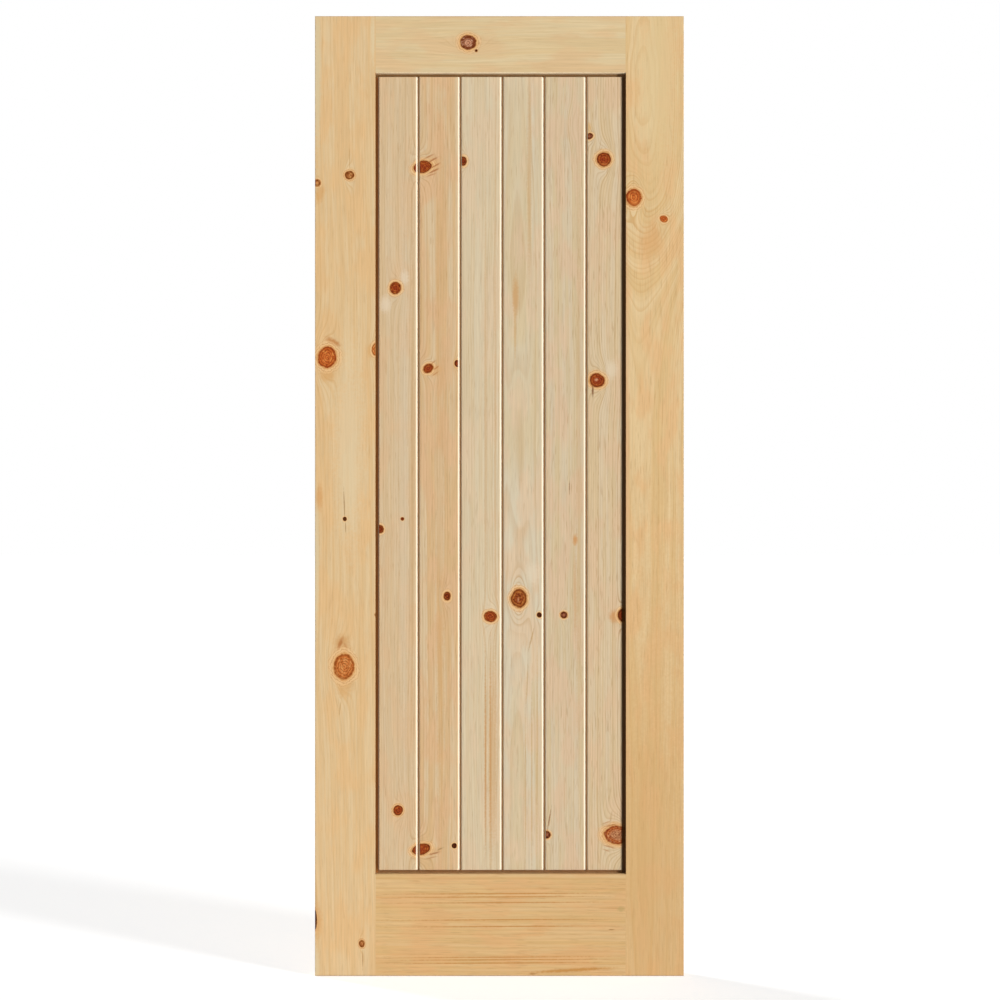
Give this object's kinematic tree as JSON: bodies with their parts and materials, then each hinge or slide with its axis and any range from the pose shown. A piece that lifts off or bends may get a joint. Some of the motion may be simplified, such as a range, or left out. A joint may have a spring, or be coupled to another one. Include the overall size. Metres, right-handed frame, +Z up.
{
  "type": "barn door slab",
  "caption": "Tall framed barn door slab in knotty pine: stiles and rails round a recessed panel of vertical V-jointed boards, for hanging from a sliding track.",
  "frame": {"origin": "middle of the slab's top edge, halfway across its width and its thickness", "axes": "+Z up along the stiles, +X towards the right stile seen from the front, front face towards -Y"},
  "size_m": [0.82, 0.035, 2.134],
  "materials": {
    "frame_pine": "planed and sanded knotty pine, unstained",
    "board_pine": "planed and sanded knotty pine, unstained, slightly paler than the frame"
  },
  "bodies": {
    "root": {"left_stile": "frame_pine", "right_stile": "frame_pine", "top_rail": "frame_pine", "bottom_rail": "frame_pine", "panel_board_1": "board_pine", "panel_board_2": "board_pine", "panel_board_3": "board_pine", "panel_board_4": "board_pine", "panel_board_5": "board_pine", "panel_board_6": "board_pine"}
  },
  "joints": []
}
